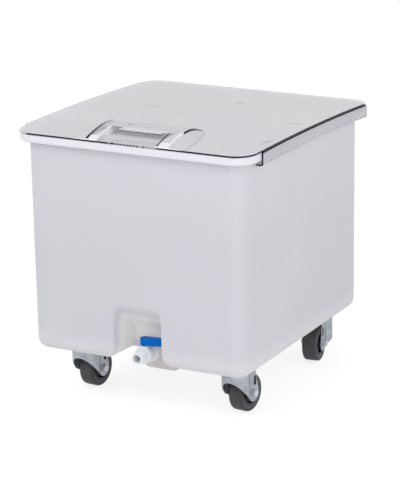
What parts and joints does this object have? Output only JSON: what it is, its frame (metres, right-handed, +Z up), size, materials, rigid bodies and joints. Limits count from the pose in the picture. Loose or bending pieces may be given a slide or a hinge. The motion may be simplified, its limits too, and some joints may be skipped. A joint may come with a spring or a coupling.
{
  "type": "ingredient cart",
  "caption": "Moulded ingredient cart with a clear sliding lid, a perforated shelf inside, a drain valve in a front alcove and swivel casters.",
  "frame": {"origin": "on the floor, under the middle of the cart", "axes": "+Z up, -Y towards the front with the drain valve and the lid handle, +X to the right of someone who faces the front"},
  "size_m": [0.518, 0.561, 0.5711],
  "materials": {
    "tank": "satin moulded polyethylene",
    "lid": "clear, lightly hazed by use",
    "shelf": "satin",
    "valve": "smooth moulded",
    "lever": "smooth moulded",
    "seal": "matte",
    "seat": "waxy",
    "steel": "polished",
    "zinc": "zinc plated",
    "hub": "satin",
    "tyre": "matte"
  },
  "bodies": {
    "tank": {"tank": "tank", "drain_tube": "valve", "outer_gasket": "seal", "inner_gasket": "seal", "drain_nut": "valve", "valve_body": "valve", "stem_seal": "seal", "rear_seat": "seat", "front_seat": "seat", "valve_nozzle": "valve", "front_left_plate": "zinc", "front_left_ball_race": "zinc", "front_left_king_pin": "zinc", "front_right_plate": "zinc", "front_right_ball_race": "zinc", "front_right_king_pin": "zinc", "rear_left_plate": "zinc", "rear_left_ball_race": "zinc", "rear_left_king_pin": "zinc", "rear_right_plate": "zinc", "rear_right_ball_race": "zinc", "rear_right_king_pin": "zinc"},
    "lid": {"lid": "lid"},
    "shelf": {"drain_shelf": "shelf"},
    "lever": {"valve_ball": "steel", "valve_stem": "steel", "valve_lever": "lever", "lever_screw": "steel"},
    "front_left_fork": {"front_left_fork": "zinc", "front_left_axle_bolt": "zinc", "front_left_axle_nut": "zinc", "front_left_bushing": "zinc"},
    "front_left_wheel": {"front_left_hub": "hub", "front_left_tyre": "tyre"},
    "front_right_fork": {"front_right_fork": "zinc", "front_right_axle_bolt": "zinc", "front_right_axle_nut": "zinc", "front_right_bushing": "zinc"},
    "front_right_wheel": {"front_right_hub": "hub", "front_right_tyre": "tyre"},
    "rear_left_fork": {"rear_left_fork": "zinc", "rear_left_axle_bolt": "zinc", "rear_left_axle_nut": "zinc", "rear_left_bushing": "zinc"},
    "rear_left_wheel": {"rear_left_hub": "hub", "rear_left_tyre": "tyre"},
    "rear_right_fork": {"rear_right_fork": "zinc", "rear_right_axle_bolt": "zinc", "rear_right_axle_nut": "zinc", "rear_right_bushing": "zinc"},
    "rear_right_wheel": {"rear_right_hub": "hub", "rear_right_tyre": "tyre"}
  },
  "joints": [
    {"name": "lid_slide", "type": "hinge", "parent": "tank", "child": "lid", "pos_m": [0, -0.13, -6.046], "axis": [-1, 0, 0], "range_deg": [0, 2.84]},
    {"name": "shelf_lift", "type": "slide", "parent": "tank", "child": "shelf", "axis": [0, 0, 1], "range_m": [0, 0.38]},
    {"name": "valve_turn", "type": "hinge", "parent": "tank", "child": "lever", "pos_m": [0.004, -0.23403, 0.121], "axis": [0, 0, 1], "range_deg": [-102, 0]},
    {"name": "front_left_swivel", "type": "hinge", "parent": "tank", "child": "front_left_fork", "pos_m": [-0.1695, -0.1676, 0.1], "axis": [0, 0, 1], "continuous": true},
    {"name": "front_left_roll", "type": "hinge", "parent": "front_left_fork", "child": "front_left_wheel", "pos_m": [-0.16741, -0.13767, 0.038], "axis": [0.9976, -0.0698, 0], "continuous": true},
    {"name": "front_right_swivel", "type": "hinge", "parent": "tank", "child": "front_right_fork", "pos_m": [0.1695, -0.1676, 0.1], "axis": [0, 0, 1], "continuous": true},
    {"name": "front_right_roll", "type": "hinge", "parent": "front_right_fork", "child": "front_right_wheel", "pos_m": [0.17248, -0.13775, 0.038], "axis": [0.9951, -0.0993, 0], "continuous": true},
    {"name": "rear_left_swivel", "type": "hinge", "parent": "tank", "child": "rear_left_fork", "pos_m": [-0.166, 0.2155, 0.1], "axis": [0, 0, 1], "continuous": true},
    {"name": "rear_left_roll", "type": "hinge", "parent": "rear_left_fork", "child": "rear_left_wheel", "pos_m": [-0.17017, 0.18579, 0.038], "axis": [-0.9903, 0.1392, 0], "continuous": true},
    {"name": "rear_right_swivel", "type": "hinge", "parent": "tank", "child": "rear_right_fork", "pos_m": [0.166, 0.2155, 0.1], "axis": [0, 0, 1], "continuous": true},
    {"name": "rear_right_roll", "type": "hinge", "parent": "rear_right_fork", "child": "rear_right_wheel", "pos_m": [0.17002, 0.18577, 0.038], "axis": [-0.991, -0.134, 0], "continuous": true}
  ]
}
